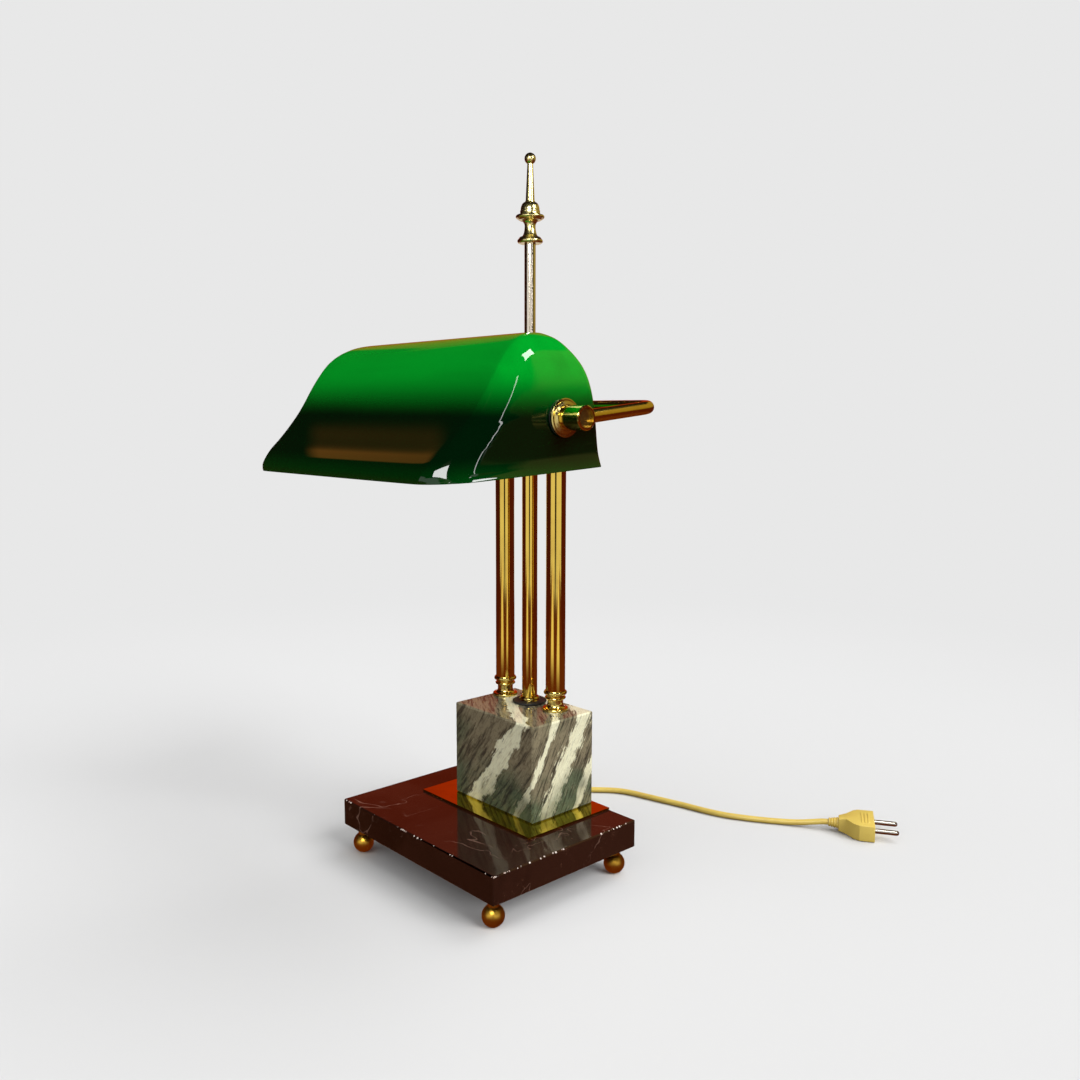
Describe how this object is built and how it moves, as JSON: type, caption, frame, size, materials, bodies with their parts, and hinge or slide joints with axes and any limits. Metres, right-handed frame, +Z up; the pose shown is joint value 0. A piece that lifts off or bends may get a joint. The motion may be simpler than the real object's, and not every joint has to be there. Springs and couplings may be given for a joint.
{
  "type": "bankers lamp",
  "caption": "Desk lamp with a green cased glass shade tilting in a brass yoke, held by a stem and tube columns on a marble block and slab, with a corded plug.",
  "frame": {"origin": "point of the table straight under the stem's axis", "axes": "+Z up along the stem, +X along the shade towards the end with the lampholder, -Y from the stem towards the shade and its lip"},
  "size_m": [0.3439, 0.4099, 0.5357],
  "materials": {
    "foot_brass": "satin",
    "red_marble": "polished",
    "plate_brass": "polished",
    "green_marble": "polished",
    "zinc_steel": "zinc plated",
    "turned_brass": "polished and lacquered",
    "tube_brass": "polished and lacquered",
    "barrel_brass": "polished and lacquered",
    "raw_brass": "as machined",
    "pale_brass": "polished, pale",
    "black_rubber": "matt",
    "ivory_plastic": "satin",
    "green_glass": "green outside, white inside, glossy",
    "holder_brass": "satin",
    "ceramic": "glazed",
    "black_plastic": "glossy",
    "opal_glass": "opal",
    "wire_plastic": "satin",
    "gold_plastic": "glossy",
    "plated_pin": "nickel plated"
  },
  "bodies": {
    "base": {"feet": "foot_brass", "base_slab": "red_marble", "plinth_plate": "plate_brass", "marble_block": "green_marble", "tie_rods": "zinc_steel", "base_washers": "zinc_steel", "base_nuts": "zinc_steel", "column_collar_left": "turned_brass", "column_collar_right": "turned_brass", "column_tube_left": "tube_brass", "column_tube_right": "tube_brass", "column_cap_left": "turned_brass", "column_cap_right": "turned_brass", "stem_gasket": "black_rubber", "stem_ferrule": "turned_brass", "stem_tube": "tube_brass", "stem_pipe": "raw_brass", "pipe_washer": "zinc_steel", "pipe_nut": "zinc_steel", "stem_hub": "turned_brass", "hub_set_screw": "raw_brass", "upper_rod": "pale_brass", "top_tie_rod": "zinc_steel", "finial_base": "turned_brass", "finial_cup": "turned_brass", "finial_spire": "turned_brass", "stem_wire": "wire_plastic", "cord_bush": "gold_plastic", "flex_exit": "gold_plastic", "flex_coil": "gold_plastic", "flex_lead": "gold_plastic", "cord_tie": "black_plastic", "plug_body": "gold_plastic", "plug_pins": "plated_pin"},
    "yoke": {"yoke_tube": "tube_brass", "barrel_left": "barrel_brass", "barrel_right": "barrel_brass", "barrel_plugs": "barrel_brass", "pivot_nipples": "raw_brass", "flange_washers": "barrel_brass", "inner_washers": "barrel_brass", "pivot_nut": "zinc_steel", "holder_cap": "holder_brass", "holder_shell": "holder_brass", "holder_liner": "ceramic", "holder_contact": "holder_brass", "bulb_cap": "holder_brass", "bulb_contact": "black_plastic", "bulb_glass": "opal_glass", "yoke_wire": "wire_plastic"},
    "shade": {"glass_shade": "green_glass", "shade_rubbers": "black_rubber", "shade_bushes": "ivory_plastic"},
    "switch_key": {"switch_key": "black_plastic"}
  },
  "joints": [
    {"name": "yoke_tilt", "type": "hinge", "parent": "base", "child": "yoke", "pos_m": [0, 0, 0.3485], "axis": [1, 0, 0], "range_deg": [-20, 14]},
    {"name": "shade_tilt", "type": "hinge", "parent": "yoke", "child": "shade", "pos_m": [0, -0.07161, 0.34097], "axis": [1, 0, 0], "range_deg": [-30, 50]},
    {"name": "switch_turn", "type": "hinge", "parent": "yoke", "child": "switch_key", "pos_m": [0.0848, -0.07161, 0.32747], "axis": [0, 0, 1], "range_deg": [0, 90]}
  ]
}
